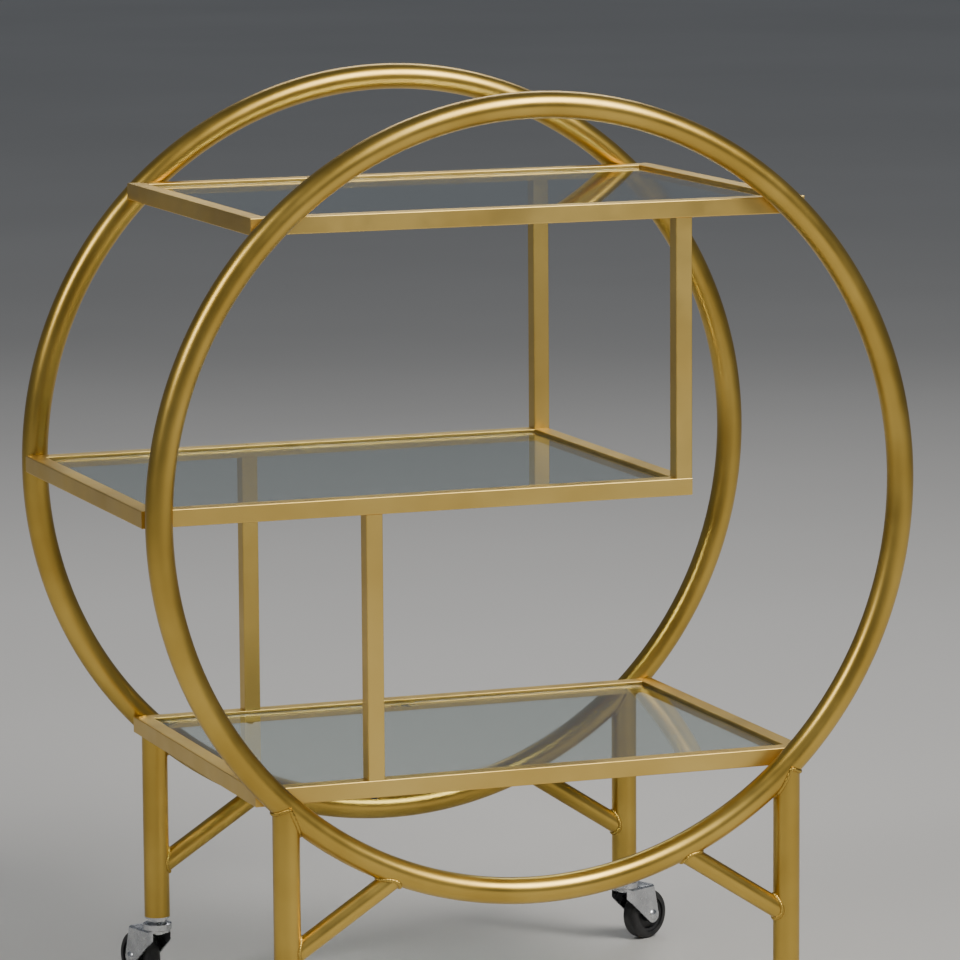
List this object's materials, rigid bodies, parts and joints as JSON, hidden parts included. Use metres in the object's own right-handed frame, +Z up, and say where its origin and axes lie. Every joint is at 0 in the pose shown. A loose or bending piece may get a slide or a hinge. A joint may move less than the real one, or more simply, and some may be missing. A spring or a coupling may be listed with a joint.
{
  "type": "bar cart on wheels",
  "caption": "Bar cart: two round tube rings on short legs carry staggered glass shelves, and swivel casters let it roll.",
  "frame": {"origin": "on the floor under the middle of the cart", "axes": "+X to the cart's right, away from the end where the middle shelf meets the rings; +Y to the back; +Z up"},
  "size_m": [0.75, 0.5156, 0.899],
  "materials": {
    "gold_tube": "satin, brass-plated steel tube",
    "gold_bar": "satin, brass-plated steel bar",
    "glass": "clear toughened glass with ground edges",
    "pads": "clear silicone",
    "dark_steel": "blackened",
    "zinc": "bright zinc",
    "wheel_plastic": "moulded",
    "tyre": "moulded rubber"
  },
  "bodies": {
    "frame": {"front_ring": "gold_tube", "back_ring": "gold_tube", "front_left_leg": "gold_tube", "front_left_brace": "gold_tube", "front_right_leg": "gold_tube", "front_right_brace": "gold_tube", "back_left_leg": "gold_tube", "back_left_brace": "gold_tube", "back_right_leg": "gold_tube", "back_right_brace": "gold_tube", "top_shelf_front_rail": "gold_bar", "top_shelf_back_rail": "gold_bar", "top_shelf_left_rail": "gold_bar", "top_shelf_right_rail": "gold_bar", "middle_shelf_front_rail": "gold_bar", "middle_shelf_back_rail": "gold_bar", "middle_shelf_left_rail": "gold_bar", "middle_shelf_right_rail": "gold_bar", "bottom_shelf_front_rail": "gold_bar", "bottom_shelf_back_rail": "gold_bar", "bottom_shelf_left_rail": "gold_bar", "bottom_shelf_right_rail": "gold_bar", "lower_front_post": "gold_bar", "lower_back_post": "gold_bar", "upper_front_post": "gold_bar", "upper_back_post": "gold_bar", "glass_tabs": "gold_bar", "top_shelf_glass": "glass", "middle_shelf_glass": "glass", "bottom_shelf_glass": "glass", "glass_pads": "pads", "post_screws": "gold_bar", "post_bolts": "dark_steel", "post_inserts": "zinc", "leg_inserts": "zinc", "front_left_caster_stem": "zinc", "front_right_caster_stem": "zinc", "back_left_caster_stem": "zinc", "back_right_caster_stem": "zinc"},
    "front_left_caster": {"front_left_fork": "zinc", "front_left_axle": "zinc", "front_left_swivel_balls": "zinc"},
    "front_left_wheel": {"front_left_wheel_hub": "wheel_plastic", "front_left_tyre": "tyre"},
    "front_right_caster": {"front_right_fork": "zinc", "front_right_axle": "zinc", "front_right_swivel_balls": "zinc"},
    "front_right_wheel": {"front_right_wheel_hub": "wheel_plastic", "front_right_tyre": "tyre"},
    "back_left_caster": {"back_left_fork": "zinc", "back_left_axle": "zinc", "back_left_swivel_balls": "zinc"},
    "back_left_wheel": {"back_left_wheel_hub": "wheel_plastic", "back_left_tyre": "tyre"},
    "back_right_caster": {"back_right_fork": "zinc", "back_right_axle": "zinc", "back_right_swivel_balls": "zinc"},
    "back_right_wheel": {"back_right_wheel_hub": "wheel_plastic", "back_right_tyre": "tyre"}
  },
  "joints": [
    {"name": "front_left_swivel", "type": "hinge", "parent": "frame", "child": "front_left_caster", "pos_m": [-0.247, -0.204, 0.056], "axis": [0, 0, 1], "continuous": true},
    {"name": "front_left_roll", "type": "hinge", "parent": "front_left_caster", "child": "front_left_wheel", "pos_m": [-0.25627, -0.23253, 0.025], "axis": [0.9511, -0.309, 0], "continuous": true},
    {"name": "front_right_swivel", "type": "hinge", "parent": "frame", "child": "front_right_caster", "pos_m": [0.247, -0.204, 0.056], "axis": [0, 0, 1], "continuous": true},
    {"name": "front_right_roll", "type": "hinge", "parent": "front_right_caster", "child": "front_right_wheel", "pos_m": [0.27419, -0.21668, 0.025], "axis": [0.4226, 0.9063, 0], "continuous": true},
    {"name": "back_left_swivel", "type": "hinge", "parent": "frame", "child": "back_left_caster", "pos_m": [-0.247, 0.204, 0.056], "axis": [0, 0, 1], "continuous": true},
    {"name": "back_left_roll", "type": "hinge", "parent": "back_left_caster", "child": "back_left_wheel", "pos_m": [-0.25627, 0.23253, 0.025], "axis": [-0.9511, -0.309, 0], "continuous": true},
    {"name": "back_right_swivel", "type": "hinge", "parent": "frame", "child": "back_right_caster", "pos_m": [0.247, 0.204, 0.056], "axis": [0, 0, 1], "continuous": true},
    {"name": "back_right_roll", "type": "hinge", "parent": "back_right_caster", "child": "back_right_wheel", "pos_m": [0.27419, 0.21668, 0.025], "axis": [-0.4226, 0.9063, 0], "continuous": true}
  ]
}
